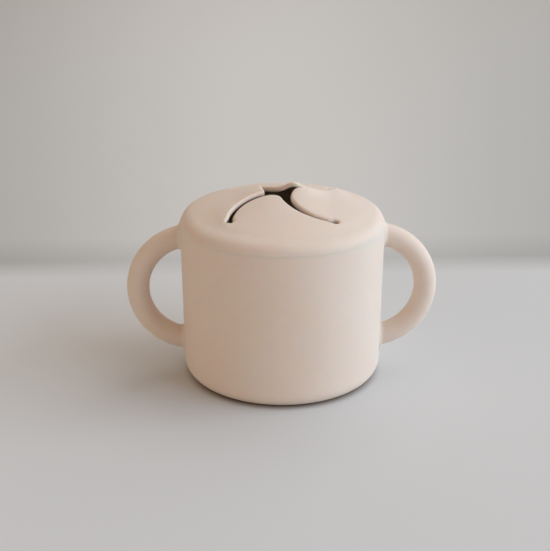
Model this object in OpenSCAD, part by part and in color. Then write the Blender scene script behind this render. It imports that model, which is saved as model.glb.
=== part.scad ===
// Toddler snack cup: a soft moulded cup with two ring handles, and a domed lid
// whose four swirling flaps let a small hand in and keep the snack from spilling.
// The origin is on the table under the cup's axis. X runs through both handles,
// Y points away from the front, and Z is up.

/* [Cup] */
// Outer diameter of the cup where the lid meets it
cup_d = 87.8; // [74:0.2:106]
// Height of the wall, from the table to the lid's lower edge
cup_h = 67.5; // [56:0.5:82]
// How much smaller the diameter is at the table than at the lid
taper = 1.4; // [0:0.2:3]
// Thickness of the wall
wall = 3.2; // [2.6:0.1:4]
// Thickness of the floor
floor_t = 3.4; // [2.4:0.1:5]
// Radius of the rounding around the base
base_round = 6.5; // [6:0.5:12]

/* [Rim] */
// Height of the lip that stands up from the wall into the lid's groove
lip_h = 2.2; // [1.6:0.1:2.8]
// Thickness of that lip
lip_t = 1.6; // [1.2:0.1:1.8]
// Gap that the lid keeps from the lip and from the inside of the wall
fit_gap = 0.2; // [0.1:0.05:0.4]

/* [Handles] */
// Distance from the axis to the outermost point of a handle
handle_reach = 67.8; // [62:0.2:80]
// Thickness of the round handle
handle_d = 9.8; // [8:0.2:12]
// Height of the lowest point of a handle above the table
handle_low = 9.7; // [9:0.1:14]
// Drop from the lid's lower edge to the top of the handle's ring
handle_drop = 0.05; // [0:0.05:4]

/* [Lid] */
// Thickness of the dome and of its flaps
lid_t = 2.2; // [1.6:0.1:2.8]
// Radius of the rounded shoulder around the dome
shoulder_r = 7; // [6:0.5:9]
// Slope at which the dome leaves the shoulder, in degrees
dome_slope = 18.5; // [12:0.5:24]
// Depth that the plug ring reaches down into the cup
plug_h = 6; // [4:0.5:9]
// Thickness of the plug ring
plug_t = 2.2; // [1.6:0.1:2.8]

/* [Flaps] */
// How far the lid is turned on the cup, seen from above and to the left, in degrees
lid_turn = -2.5; // [-45:0.5:45]
// Distance from one slit's end hole to the next one's, which is a flap's fold line
fold_len = 43; // [36:0.2:46]
// Diameter of the round holes that end the slits
hole_d = 3; // [2.4:0.1:4.2]
// Width of the slits
slit_w = 1.6; // [0.8:0.1:2.2]
// Radius of each flap's rounded tip
tip_r = 5; // [2:0.5:7]
// Gap between a flap's root and the bead that it folds around
fold_gap = 0.15; // [0.1:0.05:0.3]
// How far each flap hangs below the dome, in degrees: front, right, back, left
sag = [0, -4.5, -7, -9]; // [-12:0.5:8]

/* [Hidden] */
$fn = 96;
silicone = [0.83, 0.78, 0.72];
lid_silicone = [0.86, 0.81, 0.75];
// A cut runs this far past the face that it opens
past = 1;

// Cup: the side leans out by this angle
rim_r = cup_d / 2;
lean = atan(taper / 2 / cup_h);
bore_r = rim_r - wall;
inner_round = base_round - wall;

// Handles: a ring that fills the height between its lowest point and the lid
ring_r = (cup_h - handle_drop - handle_low - handle_d) / 2;
ring_z = handle_low + handle_d / 2 + ring_r;
ring_x = handle_reach - handle_d / 2 - ring_r;

// Dome: a sphere that carries on from the shoulder's rounding without a crease
join_r = rim_r - shoulder_r * (1 - sin(dome_slope));
join_z = cup_h + shoulder_r * cos(dome_slope);
dome_r = join_r / sin(dome_slope);
dome_z = join_z - dome_r * cos(dome_slope);
dome_top = dome_z + dome_r;
through_h = dome_top + past;
plug_r = bore_r - fit_gap;
hollow_r = plug_r - plug_t;

// Fold lines: a square around the axis, with an end hole at each corner
fold_y = fold_len / 2;
fold_top = dome_z + sqrt(dome_r * dome_r - fold_y * fold_y);
corner_top = dome_z + sqrt(dome_r * dome_r - 2 * fold_y * fold_y);
fold_z = (fold_top + corner_top - lid_t) / 2;
// The bead is rounder than the lid is high along a fold line by this much
bead_spare = 0.8;
bead_r = fold_top - fold_z + bead_spare;

// Tip: the centre of a circle that touches both slit edges beside it
inner_edge = fold_y - slit_w / 2;
outer_edge = fold_y + slit_w / 2;
arc_span = fold_y * sqrt(2);
tip_in = inner_edge - tip_r;
tip_out = outer_edge + tip_r;
tip_along = (tip_in * tip_in - tip_out * tip_out + arc_span * arc_span) / (2 * arc_span);
tip_across = sqrt(tip_in * tip_in - tip_along * tip_along);
tip = [(tip_along - tip_across) / sqrt(2), (tip_along + tip_across) / sqrt(2) - fold_y];
// The circle runs this much past the slit edges, so that it crosses them cleanly
tip_over = 0.1;
touch_left = [0, -fold_y] + (tip - [0, -fold_y]) * inner_edge / tip_in;
touch_right = [fold_y, 0] + (tip - [fold_y, 0]) * outer_edge / tip_out;

// Half the section of a bowl: a leaning side, a flat bottom at low, a level top at high
module bowl_section(foot_r, low, high, rounding) {
    turn_r = foot_r + low * tan(lean) - rounding * (1 - sin(lean)) / cos(lean);
    translate([turn_r, low + rounding]) circle(rounding);
    polygon([
        [0, low],
        [turn_r, low],
        [turn_r + rounding * cos(lean), low + rounding * (1 - sin(lean))],
        [foot_r + high * tan(lean), high],
        [0, high]
    ]);
}

// A ring's section with straight sides and one full-round end
module rounded_strip(thickness, height) {
    square([thickness, height - thickness / 2]);
    translate([thickness / 2, height - thickness / 2]) circle(thickness / 2);
}

// The cup's outside as a solid, which also trims the handles
module cup_outside() {
    rotate_extrude() bowl_section(rim_r - taper / 2, 0, cup_h, base_round);
}

// The cup: rounded base, leaning wall, and the lip that holds the lid
module cup_body() {
    color(silicone) rotate_extrude() {
        difference() {
            bowl_section(rim_r - taper / 2, 0, cup_h, base_round);
            bowl_section(bore_r - taper / 2, floor_t, cup_h + past, inner_round);
        }
        translate([bore_r, cup_h]) rounded_strip(lip_t, lip_h);
    }
}

// One ring handle, on the right, ending where it meets the wall
module handle() {
    color(silicone) difference() {
        translate([ring_x, 0, ring_z]) rotate([90, 0, 0]) rotate_extrude()
            translate([ring_r, 0]) circle(handle_d / 2);
        cup_outside();
    }
}

module handle_right() {
    handle();
}

module handle_left() {
    mirror([1, 0, 0]) handle();
}

// Half the section of the closed lid: dome, shoulder, groove and plug ring
module lid_section() {
    difference() {
        union() {
            intersection() {
                translate([0, dome_z]) circle(dome_r);
                translate([0, cup_h]) square([join_r, dome_top - cup_h]);
            }
            intersection() {
                translate([rim_r - shoulder_r, cup_h]) circle(shoulder_r);
                translate([0, cup_h]) square([rim_r, shoulder_r]);
            }
        }
        intersection() {
            translate([0, dome_z]) circle(dome_r - lid_t);
            square([hollow_r, dome_top]);
        }
        translate([plug_r, cup_h - past]) square([lip_t + 2 * fit_gap, lip_h + fit_gap + past]);
    }
    translate([hollow_r, cup_h + lip_h]) mirror([0, 1]) rounded_strip(plug_t, plug_h + lip_h);
}

// The strip that one slit takes out: a quarter circle from an end hole to the middle
module slit_plan() {
    intersection() {
        translate([0, -fold_y]) difference() {
            circle(outer_edge);
            circle(inner_edge);
        }
        translate([-outer_edge, -fold_y]) square(outer_edge);
    }
}

// What lies between two slits and the front fold line, grown or shrunk by their width
module petal_plan(left_edge, right_edge) {
    difference() {
        union() {
            intersection() {
                translate([0, -fold_y]) circle(left_edge);
                translate([-fold_y, -fold_y]) square(fold_y);
            }
            translate([0, -fold_y]) square(fold_y);
        }
        translate([fold_y, 0]) circle(right_edge);
    }
}

// The corner that a flap loses where its tip is rounded
module tip_corner() {
    difference() {
        polygon([
            tip,
            2 * touch_left - tip,
            [tip_r, tip_r],
            2 * touch_right - tip
        ]);
        translate(tip) circle(tip_r + tip_over);
    }
}

// A bar along the front fold line
module fold_bar(radius) {
    translate([-fold_y * 2, -fold_y, fold_z]) rotate([0, 90, 0]) cylinder(r = radius, h = fold_y * 4);
}

// The lid without its flaps: shoulder, deck, fold beads, groove and plug ring
module lid_cap() {
    color(lid_silicone) difference() {
        rotate_extrude() lid_section();
        for (turn = [0:90:270]) rotate(turn + lid_turn) {
            linear_extrude(through_h) slit_plan();
            difference() {
                linear_extrude(through_h) petal_plan(fold_y, fold_y);
                fold_bar(bead_r);
            }
            translate([fold_y, fold_y, 0]) cylinder(d = hole_d, h = through_h);
        }
    }
}

// One flap, on the front fold line, hanging below the dome by its sag, or raised where that is negative
module flap(sag_angle) {
    hinge = [0, -fold_y, fold_z];
    color(lid_silicone) translate(hinge) rotate([-sag_angle, 0, 0]) translate(-hinge) difference() {
        intersection() {
            translate([0, 0, dome_z]) sphere(dome_r);
            linear_extrude(through_h) difference() {
                petal_plan(inner_edge, outer_edge);
                tip_corner();
            }
        }
        translate([0, 0, dome_z]) sphere(dome_r - lid_t);
        fold_bar(bead_r + fold_gap);
    }
}

module flap_front() {
    rotate(lid_turn) flap(sag[0]);
}

module flap_right() {
    rotate(90 + lid_turn) flap(sag[1]);
}

module flap_back() {
    rotate(180 + lid_turn) flap(sag[2]);
}

module flap_left() {
    rotate(270 + lid_turn) flap(sag[3]);
}

cup_body();
handle_left();
handle_right();
lid_cap();
flap_front();
flap_right();
flap_back();
flap_left();
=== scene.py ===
"""The looks of a toddler snack cup: a soft moulded cup with two ring handles and a
domed lid whose four swirling flaps bend at their roots.

Sizes are in millimetres, as in the part's own source, and become metres only where a
mesh is made. X runs through both handles, Y points away from the front, Z is up.
"""

import logging
import math
from dataclasses import dataclass, field
from enum import Enum
from typing import Any, Optional, Union

import bpy
import numpy as np
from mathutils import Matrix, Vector
from mathutils.geometry import delaunay_2d_cdt


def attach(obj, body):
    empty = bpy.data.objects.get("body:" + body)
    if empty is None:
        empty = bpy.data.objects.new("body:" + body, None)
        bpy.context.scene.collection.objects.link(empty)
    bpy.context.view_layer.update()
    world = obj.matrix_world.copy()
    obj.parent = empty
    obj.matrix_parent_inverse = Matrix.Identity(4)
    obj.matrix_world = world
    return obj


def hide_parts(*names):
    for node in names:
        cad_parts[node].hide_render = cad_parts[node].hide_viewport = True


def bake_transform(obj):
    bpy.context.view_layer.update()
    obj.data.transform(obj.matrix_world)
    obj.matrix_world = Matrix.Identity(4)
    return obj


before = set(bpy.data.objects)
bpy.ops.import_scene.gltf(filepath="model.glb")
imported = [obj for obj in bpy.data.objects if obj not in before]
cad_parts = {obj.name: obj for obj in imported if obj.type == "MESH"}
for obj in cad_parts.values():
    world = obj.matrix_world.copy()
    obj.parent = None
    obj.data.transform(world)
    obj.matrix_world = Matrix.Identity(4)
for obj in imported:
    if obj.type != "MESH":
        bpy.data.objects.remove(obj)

LOG = logging.getLogger("snack_cup")
MM = 0.001
PHOTO_WIDTH, PHOTO_HEIGHT = 550, 551
SENSOR_MM = 36.0
NO_FLAP = -1
TINY = 1e-6

Points = np.ndarray
Faces = list[tuple[int, ...]]
Colour = tuple[float, float, float]


# Shader maths


class Wire:
    """A shader socket that takes part in plain arithmetic.

    Each operator adds one Math node, so ``1 - mask * 0.2`` reads as it is meant.
    """

    def __init__(self, shader: "Shader", socket: bpy.types.NodeSocket) -> None:
        """Keeps the shader and its output that carries the number."""
        self.shader = shader
        self.socket = socket

    def _math(self, operation: str, *inputs: "Number") -> "Wire":
        """Adds one Math node, its inputs in the node's order."""
        values = dict(enumerate(inputs))
        return self.shader.add("ShaderNodeMath", {"operation": operation}, values)

    def __add__(self, other: "Number") -> "Wire":
        """Adds."""
        return self._math("ADD", self, other)

    def __radd__(self, other: "Number") -> "Wire":
        """Adds, with the number first."""
        return self._math("ADD", other, self)

    def __sub__(self, other: "Number") -> "Wire":
        """Takes away."""
        return self._math("SUBTRACT", self, other)

    def __rsub__(self, other: "Number") -> "Wire":
        """Takes this from a number."""
        return self._math("SUBTRACT", other, self)

    def __mul__(self, other: "Number") -> "Wire":
        """Multiplies."""
        return self._math("MULTIPLY", self, other)

    def __rmul__(self, other: "Number") -> "Wire":
        """Multiplies, with the number first."""
        return self._math("MULTIPLY", other, self)

    def __truediv__(self, other: "Number") -> "Wire":
        """Divides."""
        return self._math("DIVIDE", self, other)

    def size(self) -> "Wire":
        """Drops the sign."""
        return self._math("ABSOLUTE", self)

    def held(self) -> "Wire":
        """Holds the value between 0 and 1."""
        return self._math("MINIMUM", self._math("MAXIMUM", self, 0.0), 1.0)

    def rising(self, start: float, over: float) -> "Wire":
        """Goes from 0 to 1 over a distance from start on, both in mm."""
        return ((self - start * MM) / (over * MM)).held()

    def eased(self) -> "Wire":
        """Smooths both ends of a value that goes from 0 to 1."""
        return self * self * (3.0 - self * 2.0)


Number = Union[Wire, float]


class Shader:
    """Builds the node tree of one material, or of the world."""

    def __init__(self, owner: Union[bpy.types.Material, bpy.types.World]) -> None:
        """Empties the tree of a material or of the world."""
        self.owner = owner
        self.owner.use_nodes = True
        self.tree = self.owner.node_tree
        self.tree.nodes.clear()

    def add(
        self,
        kind: str,
        settings: Optional[dict[str, Any]] = None,
        values: Optional[dict[Union[int, str], Any]] = None,
        out: Union[int, str, None] = 0,
    ) -> Optional[Wire]:
        """Adds one node.

        Args:
            kind: the node's type.
            settings: the node's own attributes, which are set first.
            values: socket name or number, and its number, colour or link.
            out: the output that is handed back, or None for a node without one.

        Returns:
            The chosen output as a wire, if there is one.
        """
        node = self.tree.nodes.new(kind)
        for key, value in (settings or {}).items():
            setattr(node, key, value)
        for key, value in (values or {}).items():
            socket = node.inputs[key]
            if isinstance(value, Wire):
                self.tree.links.new(value.socket, socket)
            else:
                socket.default_value = value
        return None if out is None else Wire(self, node.outputs[out])

    def place(self) -> Wire:
        """Gives the surface's own coordinates, in metres."""
        return self.add("ShaderNodeTexCoord", out="Object")

    def noise(self, grain_mm: float, detail: float = 2.0, roughness: float = 0.5) -> Wire:
        """Adds noise with grains of a real size.

        Args:
            grain_mm: the size of a grain.
            detail: how many finer layers it holds.
            roughness: how strong those layers are.

        Returns:
            The noise, from 0 to 1.
        """
        values = {
            "Vector": self.place(),
            "Scale": 1.0 / (grain_mm * MM),
            "Detail": detail,
            "Roughness": roughness,
        }
        return self.add("ShaderNodeTexNoise", None, values)

    def blend(self, share: Number, first: Any, second: Any) -> Wire:
        """Mixes two colours.

        Args:
            share: how much of the second colour shows.
            first: the colour, or its wire, at 0.
            second: the colour, or its wire, at 1.

        Returns:
            The mixed colour.
        """
        settings = {"data_type": "RGBA", "blend_type": "MIX"}
        values = {0: share, 6: _rgba(first), 7: _rgba(second)}
        return self.add("ShaderNodeMix", settings, values, out=2)

    def finish(self, surface: Wire) -> Any:
        """Plugs the surface in, and gives back the material or the world."""
        kind = "World" if isinstance(self.owner, bpy.types.World) else "Material"
        self.add(f"ShaderNodeOutput{kind}", None, {"Surface": surface}, out=None)
        return self.owner


def _rgba(colour: Any) -> Any:
    """Gives a plain colour its fourth number, and leaves a wire alone."""
    return colour if isinstance(colour, Wire) else (*colour, 1.0)


# Finishes


@dataclass(frozen=True)
class Silicone:
    """Soft matte moulded silicone, with lengths in mm.

    Attributes:
        colour: the colour of most of the surface.
        warm: the slightly deeper colour that it drifts to.
        warmth: how much of that colour shows on average.
        patch: the size of its patches, and how strong they are.
        mottle: the size of the skin's unevenness, and its share in the colour.
        tooth: the size of the grain that a blasted mould leaves, and its share in the bump.
        bump: the strength of the bump, and its depth.
        uneven: how much unevenness and grain change its roughness.
        shine: how strongly it mirrors.
        sheen: the faint velvet of a surface that was never polished, and its roughness.
        glow: how much light goes into the body and out again.
        scatter: how far each colour then goes, as a share of reach.
        reach: how far the light goes.
    """

    name: str
    colour: Colour = (0.780, 0.670, 0.585)
    warm: Colour = (0.750, 0.625, 0.530)
    warmth: float = 0.4
    patch: tuple[float, float] = (26.0, 1.1)
    mottle: tuple[float, float] = (3.2, 0.5)
    tooth: tuple[float, float] = (0.22, 0.12)
    bump: tuple[float, float] = (0.25, 0.08)
    roughness: float = 0.56
    uneven: tuple[float, float] = (0.10, 0.06)
    shine: float = 0.32
    ior: float = 1.41
    sheen: tuple[float, float] = (0.06, 0.6)
    glow: float = 0.6
    scatter: Colour = (1.0, 0.45, 0.22)
    reach: float = 1.2

    def make(self) -> bpy.types.Material:
        """Builds the material."""
        shader = Shader(bpy.data.materials.new(self.name))
        patches = shader.noise(self.patch[0], detail=3.0) - 0.5
        skin = shader.noise(self.mottle[0], detail=4.0, roughness=0.6)
        grain = shader.noise(self.tooth[0])
        share = patches * self.patch[1] + (skin - 0.5) * self.mottle[1] + self.warmth
        rough = (skin - 0.5) * self.uneven[0]
        strength, depth = self.bump
        height = self.tooth[1] * grain + skin
        bump = {"Height": height, "Strength": strength, "Distance": depth * MM}
        values = {
            "Base Color": shader.blend(share.held(), self.colour, self.warm),
            "Roughness": self.roughness + rough + (grain - 0.5) * self.uneven[1],
            "Normal": shader.add("ShaderNodeBump", None, bump),
            "Specular IOR Level": self.shine,
            "IOR": self.ior,
            "Sheen Weight": self.sheen[0],
            "Sheen Roughness": self.sheen[1],
            "Subsurface Weight": self.glow,
            "Subsurface Radius": self.scatter,
            "Subsurface Scale": self.reach * MM,
        }
        return shader.finish(shader.add("ShaderNodeBsdfPrincipled", None, values))


@dataclass(frozen=True)
class TableTop:
    """The pale table that the cup stands on.

    Attributes:
        near: the colour around the cup.
        far: the colour of the light pool behind it.
        side: the colour behind it, out to both sides.
        under: the colour of the painted contact shadow in the narrow gap under the cup's rounded
            base.
        leak: the share of the floor's own colour that still shows through that painted shadow.
        foot: the radius at which the painted shadow starts to fade, in mm.
        around: the distance over which it fades.
        turn: where near has ended, in mm behind the cup's axis.
        edge: the distance over which it ends.
        line: the share of light that a darker line there takes away.
        fade: the distance behind it over which that line is lost.
        origin: how far in front of the axis the pool's sides meet, in mm.
        spread: the slope of those sides.
        patch: the size of the patches in which its roughness changes.
        roughness: how matte it is on average, and by how much that changes.
    """

    name: str = "pale_table"
    near: Colour = (0.665, 0.675, 0.680)
    # far: the colour of the painted pool of light behind it. side: the darker colour behind it,
    # out to both sides, where that painted light has faded.
    far: Colour = (0.70, 0.705, 0.69)
    side: Colour = (0.505, 0.51, 0.50)
    under: Colour = (0.16, 0.09, 0.055)
    leak: float = 0.2
    foot: float = 38.0
    around: float = 6.5
    turn: float = 141.0
    edge: float = 26.0
    line: float = 0.15
    fade: float = 38.0
    origin: float = 450.0
    spread: float = 0.33
    patch: float = 40.0
    roughness: tuple[float, float] = (0.7, 0.1)
    shine: float = 0.2

    def make(self) -> bpy.types.Material:
        """Builds the material."""
        shader = Shader(bpy.data.materials.new(self.name))
        place = shader.place()
        deep = shader.add("ShaderNodeSeparateXYZ", None, {"Vector": place}, out="Y")
        across = shader.add("ShaderNodeSeparateXYZ", None, {"Vector": place}, out="X")
        # Painted pool of light on the table behind the cup, darker out to both sides.
        slope = across / (deep + self.origin * MM) / self.spread
        pool = shader.blend(slope.size().held().eased(), self.far, self.side)
        line = (1.0 - deep.rising(self.turn, self.fade)) * self.line
        dimmed = shader.blend(line, pool, (0.0, 0.0, 0.0))
        behind = deep.rising(self.turn - self.edge, self.edge)
        floor = shader.blend(behind, self.near, dimmed)
        # Painted contact shadow: a dark ring on the floor under the cup's rounded base, fading
        # out past the foot.
        length = {"operation": "LENGTH"}
        radius = shader.add("ShaderNodeVectorMath", length, {0: place}, out="Value")
        share = radius.rising(self.foot, self.around).eased()
        gap = shader.blend(self.leak, self.under, floor)
        matte, change = self.roughness
        values = {
            "Base Color": shader.blend(share, gap, floor),
            "Roughness": matte + (shader.noise(self.patch, detail=3.0) - 0.5) * change,
            "Specular IOR Level": self.shine,
        }
        return shader.finish(shader.add("ShaderNodeBsdfPrincipled", None, values))


# Outlines and meshes


@dataclass(frozen=True)
class Corner:
    """One corner of an outline, rounded by a radius."""

    across: float
    up: float
    rounding: float = 0.0


def arc(
    centre: tuple[float, float], radius: float, start: float, end: float, count: int
) -> Points:
    """Lays points along an arc.

    Args:
        centre: the arc's centre.
        radius: its radius.
        start: the first angle, in degrees.
        end: the last angle, in degrees.
        count: the number of points.

    Returns:
        The points, one row each.
    """
    angles = np.radians(np.linspace(start, end, count))
    return np.array(centre) + radius * np.column_stack((np.cos(angles), np.sin(angles)))


def soften(corners: list[Corner], turns: int = 8, beside: float = 0.4) -> Points:
    """Rounds the corners of an open outline.

    Args:
        corners: the corners in order; the two ends stay sharp.
        turns: the number of steps in each rounding.
        beside: how far from a rounding its close points lie, or its radius if that is less.

    Returns:
        The outline's points, with close ones beside each rounding so that
        the flat stretches stay flat when they are shaded smooth.
    """
    places = [np.array((c.across, c.up)) for c in corners]
    rows = [places[0]]
    for index in range(1, len(corners) - 1):
        here, radius = places[index], corners[index].rounding
        back = places[index - 1] - here
        ahead = places[index + 1] - here
        back, ahead = back / np.linalg.norm(back), ahead / np.linalg.norm(ahead)
        half = math.acos(float(np.clip(back @ ahead, -1.0, 1.0))) / 2.0
        if radius <= 0.0:
            rows.append(here)
            continue
        reach = radius / math.tan(half)
        middle = here + (back + ahead) / np.linalg.norm(back + ahead) * radius / math.sin(half)
        first, last = here + back * reach - middle, here + ahead * reach - middle
        rows.append(here + back * (reach + min(beside, radius)))
        sweep = math.pi - 2.0 * half
        for step in range(turns + 1):
            share = step / turns
            arm = first * math.sin((1.0 - share) * sweep) + last * math.sin(share * sweep)
            rows.append(middle + arm / math.sin(sweep))
        rows.append(here + ahead * (reach + min(beside, radius)))
    rows.append(places[-1])
    return np.array(rows)


def split_long(outline: Points, longest: float) -> Points:
    """Adds points where an outline's steps are long.

    Args:
        outline: the points in order.
        longest: the longest step that stays.

    Returns:
        The outline with its long steps divided evenly.
    """
    rows = [outline[0]]
    for start, end in zip(outline[:-1], outline[1:]):
        count = max(1, math.ceil(float(np.linalg.norm(end - start)) / longest))
        rows.extend(start + (end - start) * (k / count) for k in range(1, count + 1))
    return np.array(rows)


def turned(outline: Points, sides: int) -> tuple[Points, Faces]:
    """Turns an outline round the Z axis.

    Args:
        outline: radius and height of each point; a radius of 0 closes the shape.
        sides: the number of steps round.

    Returns:
        The points and the faces.
    """
    points: list[tuple[float, float, float]] = []
    rings: list[list[int]] = []
    angles = [2.0 * math.pi * k / sides for k in range(sides)]
    for radius, height in outline:
        start = len(points)
        if radius < TINY:
            points.append((0.0, 0.0, float(height)))
            rings.append([start] * sides)
        else:
            ring = [(radius * math.cos(a), radius * math.sin(a)) for a in angles]
            points.extend((across, deep, float(height)) for across, deep in ring)
            rings.append(list(range(start, start + sides)))
    faces: Faces = []
    for lower, upper in zip(rings[:-1], rings[1:]):
        for k in range(sides):
            nxt = (k + 1) % sides
            loop = (lower[k], lower[nxt], upper[nxt], upper[k])
            corners = tuple(dict.fromkeys(loop))
            if len(corners) > 2:
                faces.append(corners)
    return np.array(points), faces


def make_piece(
    name: str, points: Points, faces: Faces, finish: bpy.types.Material
) -> bpy.types.Object:
    """Makes a smooth-shaded piece.

    Args:
        name: the piece's name.
        points: its points, in mm.
        faces: its faces.
        finish: its material.

    Returns:
        The object, linked to the scene.
    """
    mesh = bpy.data.meshes.new(name)
    mesh.from_pydata([tuple(p) for p in np.asarray(points, float) * MM], [], faces)
    mesh.validate()
    mesh.shade_smooth()
    mesh.materials.append(finish)
    piece = bpy.data.objects.new(name, mesh)
    bpy.context.scene.collection.objects.link(piece)
    return piece


def joined(parts: list[tuple[Points, Faces]], near: float = 0.004) -> tuple[Points, Faces]:
    """Joins meshes and welds the points that lie on each other.

    Args:
        parts: points and faces of each mesh.
        near: how close two points lie to become one, in mm.

    Returns:
        The points and faces of the joined mesh.
    """
    points = np.vstack([p for p, _ in parts])
    faces: Faces = []
    offset = 0
    for part, loops in parts:
        faces.extend(tuple(i + offset for i in loop) for loop in loops)
        offset += len(part)
    keys = np.round(points / near).astype(np.int64)
    _, first, inverse = np.unique(keys, axis=0, return_index=True, return_inverse=True)
    inverse = inverse.ravel()
    welded: Faces = []
    for loop in faces:
        corners = tuple(dict.fromkeys(int(inverse[i]) for i in loop))
        if len(corners) > 2:
            welded.append(corners)
    return points[first], welded


# The cup


@dataclass
class CupBody:
    """The cup: a rounded base, a wall that leans out a little, and the lip for the lid.

    Attributes:
        foot_radius: the wall's outer radius at the table, if the base weren't rounded.
        seam: the rounding of the edge where the lid meets the wall.
        bore_low: how far below the wall's top the bore starts to taper.
    """

    finish: bpy.types.Material
    rim_radius: float = 43.9
    foot_radius: float = 43.2
    height: float = 67.5
    wall: float = 3.2
    floor: float = 3.4
    base_round: float = 6.5
    lip_height: float = 2.2
    lip_thickness: float = 1.6
    lip_round: float = 0.75
    step_round: float = 0.2
    seam: float = 0.04
    bore_low: float = 2.0
    bore_round: float = 1.0
    longest: float = 2.5
    sides: int = 288

    def radius_at(self, height: float) -> float:
        """Gives the wall's outer radius at a height above the table."""
        return self.foot_radius + (self.rim_radius - self.foot_radius) * height / self.height

    def outline(self) -> Points:
        """Draws the half section, from under the base round to the floor inside.

        Returns:
            Radius and height of each point.
        """
        bore = self.rim_radius - self.wall
        lip_top = self.height + self.lip_height
        inner_foot = self.radius_at(self.floor) - self.wall
        corners = [
            Corner(0.0, 0.0),
            Corner(self.foot_radius, 0.0, self.base_round),
            Corner(self.rim_radius, self.height, self.seam),
            Corner(bore + self.lip_thickness, self.height, self.step_round),
            Corner(bore + self.lip_thickness, lip_top, self.lip_round),
            Corner(bore, lip_top, self.lip_round),
            Corner(bore, self.height - self.bore_low, self.bore_round),
            Corner(inner_foot, self.floor, self.base_round - self.wall),
            Corner(0.0, self.floor),
        ]
        return split_long(soften(corners, turns=12), self.longest)

    def build(self) -> bpy.types.Object:
        """Makes the cup and lets it ride in place of its solid."""
        points, faces = turned(self.outline(), self.sides)
        piece = make_piece("cup_moulding", points, faces, self.finish)
        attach(piece, "cup")
        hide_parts("cup_body")
        return piece


class Side(Enum):
    """The side of the cup that a handle is on."""

    RIGHT = 1
    LEFT = -1


@dataclass
class RingHandle:
    """A round bar bent into a ring, which flares where it grows out of the wall.

    Attributes:
        ring_out: how far the ring's centre lies from the cup's axis.
        flare: how much the bar swells where it meets the wall.
        ends: the angle of its two ends, which lie inside the wall, in degrees.
        clear: the angle from which the sections lie closer together.
    """

    side: Side
    cup: CupBody
    finish: bpy.types.Material
    ring_radius: float = 23.975
    ring_out: float = 38.925
    ring_height: float = 38.575
    thickness: float = 9.8
    flare: float = 1.9
    ends: float = 81.5
    clear: float = 66.0
    clear_steps: int = 90
    end_steps: int = 40
    sides: int = 56

    def spine(self) -> Points:
        """Gives the sections' angles in degrees, closer together near the wall."""
        middle = np.linspace(-self.clear, self.clear, self.clear_steps)
        close = np.linspace(self.clear, self.ends, self.end_steps)[1:]
        return np.concatenate((-close[::-1], middle, close))

    def build(self) -> bpy.types.Object:
        """Makes the handle and lets it ride in place of its solid."""
        rows = []
        turn = np.linspace(0.0, 2.0 * math.pi, self.sides, endpoint=False)
        for angle in np.radians(self.spine()):
            out = np.array((math.cos(angle), 0.0, math.sin(angle)))
            middle = np.array((self.ring_out, 0.0, self.ring_height)) + out * self.ring_radius
            around = np.outer(np.cos(turn), out) + np.outer(np.sin(turn), (0.0, 1.0, 0.0))
            ring = middle + around * self.thickness / 2.0
            rows.append(ring + around * self._flare_at(ring)[:, None])
        points = np.array(rows)
        points[:, :, 0] *= self.side.value
        count = len(rows)
        faces: Faces = []
        for row in range(count - 1):
            for k in range(self.sides):
                nxt = (k + 1) % self.sides
                loop = [row * self.sides + k, (row + 1) * self.sides + k]
                loop += [(row + 1) * self.sides + nxt, row * self.sides + nxt]
                faces.append(tuple(loop if self.side is Side.LEFT else loop[::-1]))
        word = self.side.name.lower()
        piece = make_piece(f"handle_ring_{word}", points.reshape(-1, 3), faces, self.finish)
        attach(piece, "cup")
        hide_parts(f"handle_{word}")
        return piece

    def _flare_at(self, ring: Points) -> Points:
        """Gives how far the bar swells beside the wall.

        Args:
            ring: the points of one section.

        Returns:
            The swelling at each point, tangent to the wall and to the bar.
        """
        outward = np.hypot(ring[:, 0], ring[:, 1])
        gap = np.clip(outward - self.cup.radius_at(ring[:, 2]), 0.0, self.flare)
        return self.flare - np.sqrt(np.maximum(self.flare**2 - (self.flare - gap) ** 2, 0.0))


# The lid


class Petal(Enum):
    """The four flaps, each with the quarter turns that bring the front one to it."""

    FRONT = 0
    RIGHT = 1
    BACK = 2
    LEFT = 3


@dataclass(frozen=True)
class Rise:
    """How a soft flap stands above the even dome at rest, in mm.

    Attributes:
        height: how high it stands where it is highest.
        middle: where that is, to the right of the flap's middle.
        reach: the distance to the side at which a third of the height is left.
        ramp: the distance from the fold over which it rises.
        end: how high it and the lid stand at the right end of the fold.
        fade: the distance beyond that end over which this is lost.
        tuck: the distance from the fold at which its tip is drawn in.
        drawn: how much of the length beyond that is lost.
        sunk: how far the tip goes down for each mm of that length.
        slant: how much sooner it is drawn in for each mm to the left.
    """

    height: float = 0.0
    middle: float = 0.0
    reach: float = 8.0
    ramp: float = 14.0
    end: float = 0.0
    fade: float = 7.0
    tuck: float = 100.0
    drawn: float = 0.0
    sunk: float = 0.0
    slant: float = 0.0


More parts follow.
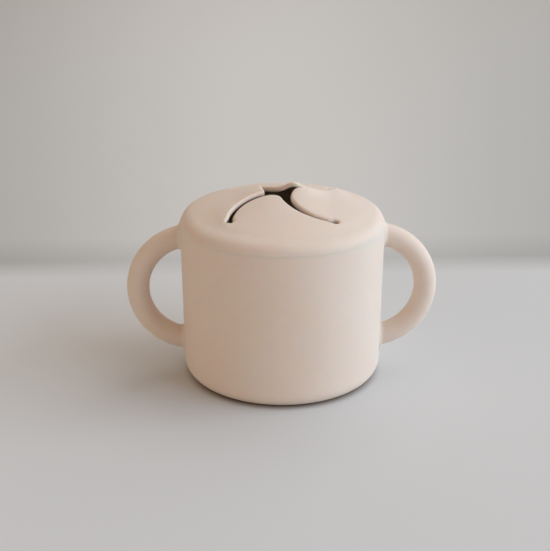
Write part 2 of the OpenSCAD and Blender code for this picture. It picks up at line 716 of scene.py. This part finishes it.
@dataclass
class DomeLid:
    """The lid: dome, shoulder, groove and plug ring, cut by four slits into flaps.

    Attributes:
        fold: the distance of the fold lines from the axis.
        front_dip: how much lower the dome lies at the front.
        front_roll: how much lower still its shoulder lies there.
        front_band: where the front starts, from 0 at the sides to 1 straight ahead, and
            over how much both grow from there.
        dip_ring: the radius at which the dip starts, and over how much it grows.
        roll_ring: the same for the shoulder.
        dip_height: the height above the groove over which both grow.
        rim_clear: how far the net's points keep from the deck's rim, as a share of grid.
        line_clear: how far they keep from its lines.
        bend: how far from its fold line a flap would bend; the flaps here are not bent.
        taper: the length over which a slit widens to its hole.
        knee: how far to the right of a flap's middle its fold's seam is straight.
        knee_in: how far past the edge's rounding it then swings in.
        end_lead: how far left of a flap's middle the height of its right end starts.
        end_inset: how far before that end it starts to fade.
        end_depth: how far it reaches from the fold towards the rim.
        rim_margin: how far inside the deck's rim it has gone.
        rim_ease: the distance over which it goes.
    """

    finish: bpy.types.Material
    rim_radius: float = 43.9
    low: float = 67.5
    thickness: float = 2.2
    shoulder: float = 7.0
    slope: float = 18.5
    plug_radius: float = 40.5
    hollow_radius: float = 38.3
    plug_low: float = 61.5
    plug_round: float = 1.0
    groove_radius: float = 42.5
    groove_top: float = 69.9
    groove_round: float = 0.3
    step_round: float = 0.2
    hollow_round: float = 1.2
    seam: float = 0.04
    fold: float = 21.5
    hinge_height: float = 76.561
    slit: float = 1.6
    hole: float = 3.0
    turn: float = -2.5
    front_dip: float = 1.07
    front_roll: float = 0.5
    front_band: tuple[float, float] = (0.1, 0.5)
    dip_ring: tuple[float, float] = (8.0, 22.0)
    roll_ring: tuple[float, float] = (33.0, 8.0)
    dip_height: float = 5.0
    tip_round: float = 5.0
    edge_round: float = 1.25
    under_round: float = 0.5
    edge_rows: int = 7
    step: float = 0.42
    hole_steps: int = 17
    taper_steps: int = 13
    grid: float = 1.25
    rim_clear: float = 0.6
    line_clear: float = 0.55
    deck_radius: float = 36.0
    dome_rows: int = 6
    shoulder_rows: int = 22
    longest: float = 2.5
    sides: int = 288
    bend: float = 6.0
    taper: float = 3.0
    knee: float = 10.9
    knee_in: float = 0.9
    rises: dict[Petal, Rise] = field(
        default_factory=lambda: {
            Petal.FRONT: Rise(0.6, middle=-3.0, reach=8.0, ramp=18.0),
            Petal.RIGHT: Rise(
                5.0, middle=4.0, reach=7.5, ramp=18.0, end=1.5, fade=3.5, tuck=8.0, drawn=0.16
            ),
            Petal.BACK: Rise(5.4, middle=-5.0, reach=6.0, ramp=24.0, end=-0.9),
            Petal.LEFT: Rise(
                2.1, middle=12.0, reach=24.0, end=0.9, fade=9.0,
                tuck=13.8, drawn=0.95, sunk=0.8, slant=0.12,
            ),
        }
    )
    end_lead: float = 4.0
    end_inset: float = 1.5
    end_depth: float = 11.0
    rim_margin: float = 0.3
    rim_ease: float = 6.0

    def __post_init__(self) -> None:
        """Works out the dome's sphere and the circle that rounds a flap's tip."""
        slope = math.radians(self.slope)
        self.join_radius = self.rim_radius - self.shoulder * (1.0 - math.sin(slope))
        self.dome_radius = self.join_radius / math.sin(slope)
        join_height = self.low + self.shoulder * math.cos(slope)
        self.dome_low = join_height - self.dome_radius * math.cos(slope)
        inner = self.fold - self.slit / 2.0 - self.tip_round
        outer = self.fold + self.slit / 2.0 + self.tip_round
        span = self.fold * math.sqrt(2.0)
        along = (inner**2 - outer**2 + span**2) / (2.0 * span)
        across = math.sqrt(inner**2 - along**2)
        self.tip = np.array(
            ((along - across) / math.sqrt(2.0), (along + across) / math.sqrt(2.0) - self.fold)
        )

    # Heights

    def top_at(self, plan: Points) -> Points:
        """Gives the dome's height at places seen from above."""
        return self.dome_low + np.sqrt(self.dome_radius**2 - (plan**2).sum(1))

    def under_at(self, plan: Points) -> Points:
        """Gives the height of the dome's inside at places seen from above."""
        radius = self.dome_radius - self.thickness
        return self.dome_low + np.sqrt(radius**2 - (plan**2).sum(1))

    # The outline of the slits

    def _slit_edge(self, side: int, ways: Points) -> Points:
        """Lays points along one edge of the slit that starts at the front right hole.

        Args:
            side: 1 for the edge of the front flap, -1 for the edge of the right one.
            ways: distances along the slit's middle from the hole's centre.

        Returns:
            The points.
        """
        hole, half = self.hole / 2.0, self.slit / 2.0
        taper = 0.5 * (1.0 + np.cos(np.pi * np.clip(ways / self.taper, 0.0, 1.0)))
        return self._beside_slit(ways, side * (half + (hole - half) * taper))

    def _beside_slit(self, ways: Points, offset: Points) -> Points:
        """Finds places beside the middle of the slit from the front right hole.

        Args:
            ways: distances along the middle from the hole's centre.
            offset: distances from the middle, positive on the front flap's side.

        Returns:
            The places seen from above.
        """
        angle = -math.pi / 2.0 - ways / self.fold
        radius = self.fold + offset
        return np.column_stack((self.fold + radius * np.cos(angle), radius * np.sin(angle)))

    def _ways(self, length: float, mark: Optional[float] = None) -> Points:
        """Spaces points along a slit, closer together beside its hole.

        Args:
            length: how far the slit's edge runs.
            mark: a distance at which a point has to lie.

        Returns:
            Distances from the hole's centre.
        """
        close = np.linspace(0.0, self.taper, self.taper_steps)
        count = max(4, round((length - self.taper) / self.step))
        ways = np.concatenate((close, np.linspace(self.taper, length, count)[1:]))
        if mark is not None:
            ways[np.argmin(abs(ways - mark))] = mark
        return ways

    def quarter(self) -> tuple[Points, int]:
        """Draws the front quarter of the opening's outline.

        Returns:
            The points from the front fold's left end, round its flap and the hole on
            its right, and the number of the point at the fold's right end.
        """
        fold, half = self.fold, self.slit / 2.0
        from_left = self.tip - np.array((0.0, -fold))
        from_right = self.tip - np.array((fold, 0.0))
        first = math.degrees(math.atan2(from_left[1], from_left[0]))
        last = math.degrees(math.atan2(-from_right[1], -from_right[0]))
        left_length = math.radians(180.0 - first) * fold
        right_length = math.radians(90.0 - last) * fold
        edge = self._slit_edge(-1, self._ways(left_length))
        left = np.column_stack((edge[:, 1], -edge[:, 0]))
        count = round(self.tip_round * math.radians(first - last) / self.step)
        tip = arc(tuple(self.tip), self.tip_round, first, last, count)
        mark = math.acos(fold / (fold + half)) * fold
        ways = self._ways(right_length, mark)[::-1]
        right = self._slit_edge(1, ways)
        crossing = len(left) + count - 2 + int(np.argmin(abs(ways - mark)))
        angles = np.linspace(0.0, math.pi, self.hole_steps)[1:-1]
        hole = self.hole / 2.0
        far = self._beside_slit(-hole * np.sin(angles), hole * np.cos(angles))
        return np.vstack((left, tip[1:-1], right, far)), crossing

    def opening(self) -> tuple[Points, list[int], list[int]]:
        """Draws the whole outline of the slits and holes.

        Returns:
            The points, and for each flap the numbers of the points at the left
            and at the right end of its fold.
        """
        points, crossing = self.quarter()
        count = len(points)
        whole = np.vstack([_turned_plan(points, petal.value) for petal in Petal])
        return whole, [k * count for k in range(4)], [k * count + crossing for k in range(4)]

    # The deck

    def deck(self) -> "Deck":
        """Lays a fine net over the middle of the lid, which every flap takes a share of."""
        edge, lefts, rights = self.opening()
        count = len(edge)
        edge_owner = np.full(count, NO_FLAP)
        along = np.roll(edge, -1, axis=0) - np.roll(edge, 1, axis=0)
        along /= np.linalg.norm(along, axis=1)[:, None]
        inward = np.column_stack((along[:, 1], -along[:, 0]))
        turns = np.linspace(0.0, math.pi / 2.0, self.edge_rows)
        insets = 1.0 - np.cos(turns)
        plan = [edge + inward * self.edge_round * inset for inset in insets]
        sunk = [np.full(count, 1.0 - math.sin(turn)) for turn in turns]
        links: list[tuple[int, int]] = []
        for row in range(self.edge_rows):
            links += [(row * count + k, row * count + (k + 1) % count) for k in range(count)]
        total = self.edge_rows * count
        inmost = plan[-1]
        seams: list[list[int]] = []
        for petal in Petal:
            left, right = lefts[petal.value], rights[petal.value]
            edge_owner[left:right] = petal.value
            start, end = inmost[left], inmost[right]
            knee = _turned_plan(np.array([(self.knee, -self.fold)]), petal.value)[0]
            swing = edge[right] + inward[right] * (self.edge_round + self.knee_in)
            path = split_long(np.vstack((start, knee, swing, end)), self.grid)[1:-1]
            plan.append(path)
            sunk.append(np.zeros(len(path)))
            seam = [row * count + left for row in range(self.edge_rows)]
            seam += list(range(total, total + len(path)))
            seam += [row * count + right for row in reversed(range(self.edge_rows))]
            links += list(zip(seam[:-1], seam[1:]))
            seams.append(seam)
            total += len(path)
        rim = arc((0.0, 0.0), self.deck_radius, 0.0, 360.0, self.sides + 1)[:-1]
        links += [(total + k, total + (k + 1) % self.sides) for k in range(self.sides)]
        plan.append(rim)
        sunk.append(np.zeros(self.sides))
        plan.append(self._grid_points(np.vstack(plan), edge))
        sunk.append(np.zeros(len(plan[-1])))
        places = np.vstack(plan)
        made = delaunay_2d_cdt([Vector(p) for p in places], links, [], 0, TINY)
        if len(made[0]) != len(places):
            raise ValueError(f"the deck's net grew from {len(places)} to {len(made[0])} points")
        order = np.array([ids[0] for ids in made[3]])
        faces = np.array([[order[i] for i in face] for face in made[2]])
        faces = faces[~_inside(places[faces].mean(1), edge)]
        middle = places[faces].mean(1)
        owner = np.full(len(faces), NO_FLAP)
        for petal in Petal:
            left, right = lefts[petal.value], rights[petal.value]
            outline = list(range(left, right + 1)) + seams[petal.value][::-1][1:-1]
            owner[_inside(middle, places[outline])] = petal.value
        inset = np.zeros((len(places), 2))
        for row in range(self.edge_rows):
            inset[row * count : (row + 1) * count] = inward * insets[row]
        base = places - inset * self.edge_round
        return Deck(base, inset, np.concatenate(sunk), faces, owner, edge_owner)

    def _grid_points(self, taken: Points, edge: Points) -> Points:
        """Fills the deck with evenly spaced points that keep clear of the lines.

        Args:
            taken: the points that are already there.
            edge: the outline of the opening.

        Returns:
            The new points.
        """
        reach = self.deck_radius
        high = self.grid * math.sqrt(3.0) / 2.0
        rows = []
        for number, up in enumerate(np.arange(-reach, reach, high)):
            across = np.arange(-reach, reach, self.grid) + (number % 2) * self.grid / 2.0
            rows.append(np.column_stack((across, np.full(len(across), up))))
        spots = np.vstack(rows)
        spots = spots[np.hypot(*spots.T) < reach - self.grid * self.rim_clear]
        spots = spots[~_inside(spots, edge)]
        clear = _nearest(spots, taken) > self.grid * self.line_clear
        return spots[clear]

    # The pieces

    def shape(self, deck: "Deck", petal: Optional[Petal]) -> tuple[Points, Faces]:
        """Gives a share of the deck its two skins and its edge.

        Args:
            deck: the net.
            petal: the flap that it is, or None for the lid around them.

        Returns:
            The points and the faces.
        """
        number = petal.value if petal else NO_FLAP
        faces = deck.faces[deck.owner == number]
        size = len(deck.base)
        top_plan = deck.base + deck.inset * self.edge_round
        under_plan = deck.base + deck.inset * self.under_round
        top = self.top_at(top_plan) - deck.sunk * self.edge_round
        under = self.under_at(under_plan) + deck.sunk * self.under_round
        plan = np.vstack((top_plan, under_plan))
        points = np.column_stack((plan, np.concatenate((top, under))))
        made: Faces = [tuple(int(i) for i in face) for face in faces]
        made += [tuple(int(i) + size for i in reversed(face)) for face in faces]
        for k in np.flatnonzero(deck.edge_owner == number).tolist():
            nxt = (k + 1) % len(deck.edge_owner)
            made.append((k, nxt, nxt + size, k + size))
        return used_only(self.lifted(points, petal), made)

    def lifted(self, points: Points, petal: Optional[Petal]) -> Points:
        """Raises a flap, or the lid beside it, to where it stands at rest.

        Args:
            points: the points, in place on the even dome.
            petal: the flap that they belong to, or None.

        Returns:
            The raised points, turned with the lid on the cup.
        """
        raised = points.copy()
        for owner, rise in self.rises.items():
            if petal in (None, owner):
                own = _turned_plan(raised[:, :2], -owner.value)
                lift = self._risen(own, rise, petal is owner)
                raised[:, 2] += lift
                if petal is owner:
                    sooner = rise.slant * np.maximum(-own[:, 0], 0.0)
                    past = np.maximum(own[:, 1] + self.fold - rise.tuck + sooner, 0.0)
                    own[:, 1] -= past * rise.drawn
                    raised[:, 2] -= past * rise.sunk
                    raised[:, :2] = _turned_plan(own, owner.value)
        turn = math.radians(self.turn)
        across, deep = raised[:, 0].copy(), raised[:, 1].copy()
        raised[:, 0] = across * math.cos(turn) - deep * math.sin(turn)
        raised[:, 1] = across * math.sin(turn) + deep * math.cos(turn)
        return raised

    def _risen(self, own: Points, rise: Rise, inside: bool) -> Points:
        """Works out how high one flap's bulge is.

        Args:
            own: places seen from above, turned as if the flap were the front one.
            rise: the bulge.
            inside: whether the places are on the flap, not on the lid around it.

        Returns:
            The height at each place.
        """
        across, depth = own[:, 0], own[:, 1] + self.fold
        side = _smooth((across + self.end_lead) / self.fold)
        side *= 1.0 - _smooth((across - self.fold + self.end_inset) / rise.fade)
        side *= _smooth((self.deck_radius - self.rim_margin - np.hypot(*own.T)) / self.rim_ease)
        if inside:
            along = np.exp(-(((across - rise.middle) / rise.reach) ** 2))
            return rise.height * along * _smooth(depth / rise.ramp) + rise.end * side
        return rise.end * side * _smooth(1.0 + depth / self.end_depth) * (depth < TINY)

    def dipped(self, points: Points) -> Points:
        """Lets the front of the dome lie a little lower than an even one.

        Args:
            points: the lid's points, where they stand on the cup.

        Returns:
            The points with the front lowered.
        """
        radius = np.maximum(np.hypot(points[:, 0], points[:, 1]), TINY)
        ring, band, shoulder = self.dip_ring, self.front_band, self.roll_ring
        dip = self.front_dip * _smooth((radius - ring[0]) / ring[1])
        roll = _smooth((radius - shoulder[0]) / shoulder[1]) * self.front_roll
        front = _smooth((-points[:, 1] / radius - band[0]) / band[1])
        high = np.clip((points[:, 2] - self.groove_top) / self.dip_height, 0.0, 1.0)
        lowered = points.copy()
        lowered[:, 2] -= (dip + roll) * front * high
        return lowered

    def skirt(self) -> Points:
        """Draws the lid's half section from the deck, over the shoulder, to the underside.

        Returns:
            Radius and height of each point.
        """
        reach = math.degrees(math.asin(self.deck_radius / self.dome_radius))
        centre = (0.0, self.dome_low)
        steep = 90.0 - self.slope
        dome = arc(centre, self.dome_radius, 90.0 - reach, steep, self.dome_rows)
        low_turn = math.degrees(math.asin(self.seam / self.shoulder))
        centre = (self.rim_radius - self.shoulder, self.low)
        shoulder = arc(centre, self.shoulder, steep, low_turn, self.shoulder_rows)[1:]
        under = float(self.under_at(np.array([(self.hollow_radius, 0.0)]))[0])
        inner = float(self.under_at(np.array([(self.deck_radius, 0.0)]))[0])
        corners = [
            Corner(self.rim_radius, self.low + 1.0),
            Corner(self.rim_radius, self.low, self.seam),
            Corner(self.groove_radius, self.low, self.step_round),
            Corner(self.groove_radius, self.groove_top, self.groove_round),
            Corner(self.plug_radius, self.groove_top, self.groove_round),
            Corner(self.plug_radius, self.plug_low, self.plug_round),
            Corner(self.hollow_radius, self.plug_low, self.plug_round),
            Corner(self.hollow_radius, under, self.hollow_round),
            Corner(self.deck_radius, inner),
        ]
        # The first two points lead in to the seam's rounding, where the shoulder has ended
        return np.vstack((dome, shoulder, split_long(soften(corners), self.longest)[2:]))

    def build(self) -> list[bpy.types.Object]:
        """Makes the lid and its flaps."""
        deck = self.deck()
        around = self.shape(deck, None)
        points, faces = joined([turned(self.skirt()[::-1], self.sides), around])
        lid = make_piece("lid_dome", self.dipped(points), faces, self.finish)
        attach(lid, "lid")
        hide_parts("lid_cap")
        return [lid] + [self._flap(deck, petal) for petal in Petal]

    def _flap(self, deck: "Deck", petal: Petal) -> bpy.types.Object:
        """Makes one flap from its share of the deck."""
        points, faces = self.shape(deck, petal)
        word = petal.name.lower()
        piece = make_piece(f"flap_skin_{word}", self.dipped(points), faces, self.finish)
        angle = math.radians(90.0 * petal.value + self.turn)
        inward = np.array((-math.sin(angle), math.cos(angle)))
        start, end = -inward * self.fold * MM, inward * (self.bend - self.fold) * MM
        height = self.hinge_height * MM
        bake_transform(piece)
        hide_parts(f"flap_{word}")
        return piece


@dataclass(frozen=True)
class Deck:
    """The net over the middle of the lid.

    Attributes:
        base: each point's place seen from above, without the rounding of its edge.
        inset: the direction and share by which a point stands in from the edge.
        sunk: how far down the edge's rounding a point lies, from 0 to 1.
        owner: the flap that each triangle belongs to, or NO_FLAP for the lid.
        edge_owner: the same for each step of the opening's outline.
    """

    base: Points
    inset: Points
    sunk: Points
    faces: Points
    owner: Points
    edge_owner: Points


def used_only(points: Points, faces: Faces) -> tuple[Points, Faces]:
    """Drops the points that no face uses."""
    used = np.unique([i for face in faces for i in face])
    number = {int(old): new for new, old in enumerate(used)}
    return points[used], [tuple(number[i] for i in face) for face in faces]


def _turned_plan(plan: Points, quarters: int) -> Points:
    """Turns places seen from above by quarter turns, to the left."""
    out = plan
    for _ in range(quarters % 4):
        out = np.column_stack((-out[:, 1], out[:, 0]))
    return out


def _smooth(share: Points) -> Points:
    """Eases from 0 to 1."""
    held = np.clip(share, 0.0, 1.0)
    return held * held * (3.0 - 2.0 * held)


def _inside(spots: Points, outline: Points) -> Points:
    """Says which spots lie inside a closed outline."""
    ahead = np.roll(outline, -1, axis=0)
    inside = np.zeros(len(spots), bool)
    for (x0, y0), (x1, y1) in zip(outline, ahead):
        if y0 != y1:
            crosses = (y0 > spots[:, 1]) != (y1 > spots[:, 1])
            inside ^= crosses & (spots[:, 0] < (x1 - x0) * (spots[:, 1] - y0) / (y1 - y0) + x0)
    return inside


def _nearest(spots: Points, others: Points) -> Points:
    """Measures from each spot to the nearest of the others."""
    best = np.full(len(spots), np.inf)
    batch = 400
    for start in range(0, len(others), batch):
        part = others[start : start + batch]
        gaps = np.hypot(spots[:, None, 0] - part[:, 0], spots[:, None, 1] - part[:, 1])
        best = np.minimum(best, gaps.min(1))
    return best


# The studio


@dataclass(frozen=True)
class Lamp:
    """One soft rectangular lamp.

    Attributes:
        place: where it hangs, in metres.
        size: its width and height, in metres.
        power: its power in watts.
    """

    name: str
    place: tuple[float, float, float]
    size: tuple[float, float]
    power: float
    colour: Colour = (1.0, 1.0, 1.0)

    def hang(self, target: Vector) -> None:
        """Hangs the lamp so that it faces a point."""
        data = bpy.data.lights.new(self.name, "AREA")
        data.shape = "RECTANGLE"
        data.size, data.size_y = self.size
        data.energy = self.power
        data.color = self.colour
        lamp = bpy.data.objects.new(self.name, data)
        lamp.location = self.place
        lamp.rotation_euler = (target - Vector(self.place)).to_track_quat("-Z", "Y").to_euler()
        bpy.context.scene.collection.objects.link(lamp)


@dataclass
class Studio:
    """Floor, lamps, sky and the camera at the photograph's viewing angle.

    Attributes:
        camera_place: where the camera stands, in mm.
        pitch: how far it looks down, in degrees.
        heading: how far it looks to the right, in degrees.
        focal_pixels: its focal length in pixels of the photograph.
        aim: the point that the lamps face, in metres.
        sky: the colour of the light from all round.
        wall: the colour that the camera sees beyond the table.
        sky_strength: the strength of both.
    """

    camera_place: tuple[float, float, float] = (-19.6, -448.95, 215.46)
    pitch: float = 20.95
    heading: float = 2.1
    focal_pixels: float = 1100.0
    aim: tuple[float, float, float] = (0.0, 0.0, 0.045)
    sky: Colour = (0.735, 0.59, 0.475)
    wall: Colour = (0.93, 0.92, 0.89)
    sky_strength: float = 0.55

    def build(self) -> None:
        """Sets the whole studio."""
        self._floor()
        for lamp in self._lamps():
            lamp.hang(Vector(self.aim))
        self._sky()
        self._camera()
        bpy.context.scene.view_settings.view_transform = "Standard"

    def _lamps(self) -> list[Lamp]:
        """Lists the lamps: large windows on the right and above, and a weak warm one."""
        return [
            Lamp("window_right", (2.6, -0.75, 1.2), (3.2, 2.2), 70.0, (0.78, 0.97, 1.17)),
            Lamp("window_above", (1.6, 1.3, 2.7), (4.0, 3.0), 40.0, (0.97, 1.0, 1.02)),
            Lamp("warm_left", (-2.6, -1.7, 0.5), (2.6, 1.0), 12.0, (1.0, 0.72, 0.48)),
        ]

    def _floor(self) -> None:
        """Lays the table top, which is not part of the object."""
        half = 6000.0
        corners = [(-half, -half, 0), (half, -half, 0), (half, half, 0), (-half, half, 0)]
        floor = make_piece("table_top", np.array(corners), [(0, 1, 2, 3)], TableTop().make())

    def _sky(self) -> None:
        """Lights the scene evenly from all round, and shows a pale wall beyond the table."""
        shader = Shader(bpy.data.worlds.new("soft_room"))
        seen = shader.add("ShaderNodeLightPath", out="Is Camera Ray")
        values = {"Color": shader.blend(seen, self.sky, self.wall), "Strength": self.sky_strength}
        bpy.context.scene.world = shader.finish(shader.add("ShaderNodeBackground", None, values))

    def _camera(self) -> None:
        """Places the camera, with its focal length worked out from the photograph's frame."""
        data = bpy.data.cameras.new("view")
        data.sensor_width = SENSOR_MM
        data.lens = self.focal_pixels * SENSOR_MM / max(PHOTO_WIDTH, PHOTO_HEIGHT)
        camera = bpy.data.objects.new("view", data)
        camera.location = Vector(self.camera_place) * MM
        pitch = math.radians(90.0 - self.pitch)
        camera.rotation_euler = (pitch, 0.0, math.radians(-self.heading))
        data.clip_start, data.clip_end = 0.01, 50.0
        bpy.context.scene.collection.objects.link(camera)
        bpy.context.scene.camera = camera


def main() -> None:
    """Builds the cup, the lid and the studio."""
    logging.basicConfig(level=logging.INFO, format="%(name)s: %(message)s")
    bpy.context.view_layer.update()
    cup_finish = Silicone("cup_silicone_matte").make()
    lid_finish = Silicone("lid_silicone_matte").make()
    cup = CupBody(cup_finish)
    pieces = [cup.build()]
    pieces += [RingHandle(side, cup, cup_finish).build() for side in Side]
    pieces += DomeLid(lid_finish).build()
    for piece in pieces:
        LOG.info("%s: %d points", piece.name, len(piece.data.vertices))
    Studio().build()


if __name__ == "__main__":
    main()
